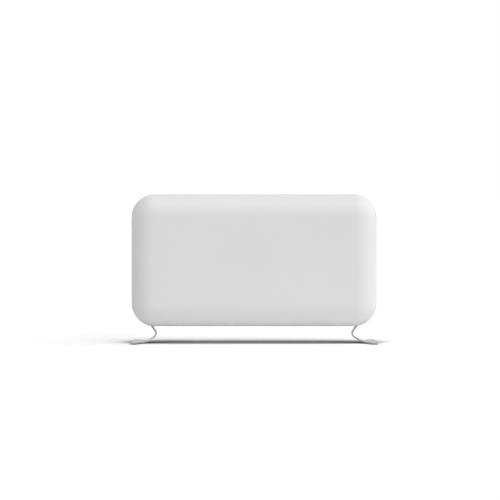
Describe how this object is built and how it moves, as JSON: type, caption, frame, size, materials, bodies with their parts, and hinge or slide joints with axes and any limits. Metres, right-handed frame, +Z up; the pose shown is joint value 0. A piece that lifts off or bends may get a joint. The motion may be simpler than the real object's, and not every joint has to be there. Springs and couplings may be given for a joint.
{
  "type": "convector heater",
  "caption": "Low, wide free-standing electric convector heater: rounded white steel casing on bent metal strip feet, with air grilles above and below and controls on the back.",
  "frame": {"origin": "on the floor, midway between the two feet and at the middle of their depth", "axes": "+X to the right seen from the front, +Y to the back, +Z up; the front faces -Y"},
  "size_m": [0.684, 0.19, 0.416],
  "materials": {
    "casing_white": "satin powder coat",
    "foot_aluminium": "bright brushed",
    "glide_rubber": "matt",
    "zinc_steel": "zinc plated sheet",
    "screw_steel": "zinc plated",
    "element_steel": "heat-tinted",
    "fin_aluminium": "mill finish",
    "bush_ceramic": "unglazed",
    "terminal_brass": "plain",
    "panel_plastic": "fine texture",
    "knob_plastic": "fine texture",
    "rocker_plastic": "semi gloss",
    "shaft_steel": "turned",
    "inner_plastic": "plain",
    "lamp_plastic": "clear amber",
    "weight_brass": "turned",
    "lead_sleeve": "silicone"
  },
  "bodies": {
    "heater": {"front_shell": "casing_white", "rear_cover": "casing_white", "outlet_grille": "casing_white", "intake_grille": "casing_white", "foot_left": "foot_aluminium", "foot_right": "foot_aluminium", "glide_left": "glide_rubber", "glide_right": "glide_rubber", "end_plate_left": "zinc_steel", "end_plate_right": "zinc_steel", "front_heat_shield": "zinc_steel", "rear_heat_shield": "zinc_steel", "base_screws": "screw_steel", "rear_screws": "screw_steel", "grille_screws": "screw_steel", "shield_screws": "screw_steel", "panel_screws": "screw_steel", "foot_bolts": "screw_steel", "foot_nuts": "screw_steel", "tilt_pin": "screw_steel", "heating_tube_lower": "element_steel", "heating_tube_upper": "element_steel", "element_fins_lower": "fin_aluminium", "element_fins_upper": "fin_aluminium", "element_bushes": "bush_ceramic", "element_terminals": "terminal_brass", "terminal_screws": "terminal_brass", "control_panel": "panel_plastic", "switch_body_low": "panel_plastic", "switch_body_high": "panel_plastic", "cord_gland": "panel_plastic", "gland_nut": "panel_plastic", "thermostat_body": "inner_plastic", "terminal_block": "inner_plastic", "tilt_switch_body": "inner_plastic", "thermal_cutout": "inner_plastic", "pilot_lamp": "lamp_plastic", "lead_low": "lead_sleeve", "lead_high": "lead_sleeve", "lead_link": "lead_sleeve", "lead_supply": "lead_sleeve", "lead_neutral": "lead_sleeve", "lead_return": "lead_sleeve"},
    "thermostat_control": {"thermostat_knob": "knob_plastic", "thermostat_shaft": "shaft_steel"},
    "low_rocker": {"rocker_low": "rocker_plastic"},
    "high_rocker": {"rocker_high": "rocker_plastic"},
    "tilt_weight": {"tilt_pendulum": "weight_brass"}
  },
  "joints": [
    {"name": "thermostat_turn", "type": "hinge", "parent": "heater", "child": "thermostat_control", "pos_m": [0.152, 0.0575, 0.308], "axis": [0, -1, 0], "range_deg": [0, 280]},
    {"name": "low_rocker_press", "type": "hinge", "parent": "heater", "child": "low_rocker", "pos_m": [0.208, 0.0565, 0.308], "axis": [-1, 0, 0], "range_deg": [0, 16]},
    {"name": "high_rocker_press", "type": "hinge", "parent": "heater", "child": "high_rocker", "pos_m": [0.236, 0.0565, 0.308], "axis": [-1, 0, 0], "range_deg": [0, 16]},
    {"name": "tilt_swing", "type": "hinge", "parent": "heater", "child": "tilt_weight", "pos_m": [-0.3088, 0.022, 0.277], "axis": [1, 0, 0], "range_deg": [-20, 20]}
  ]
}
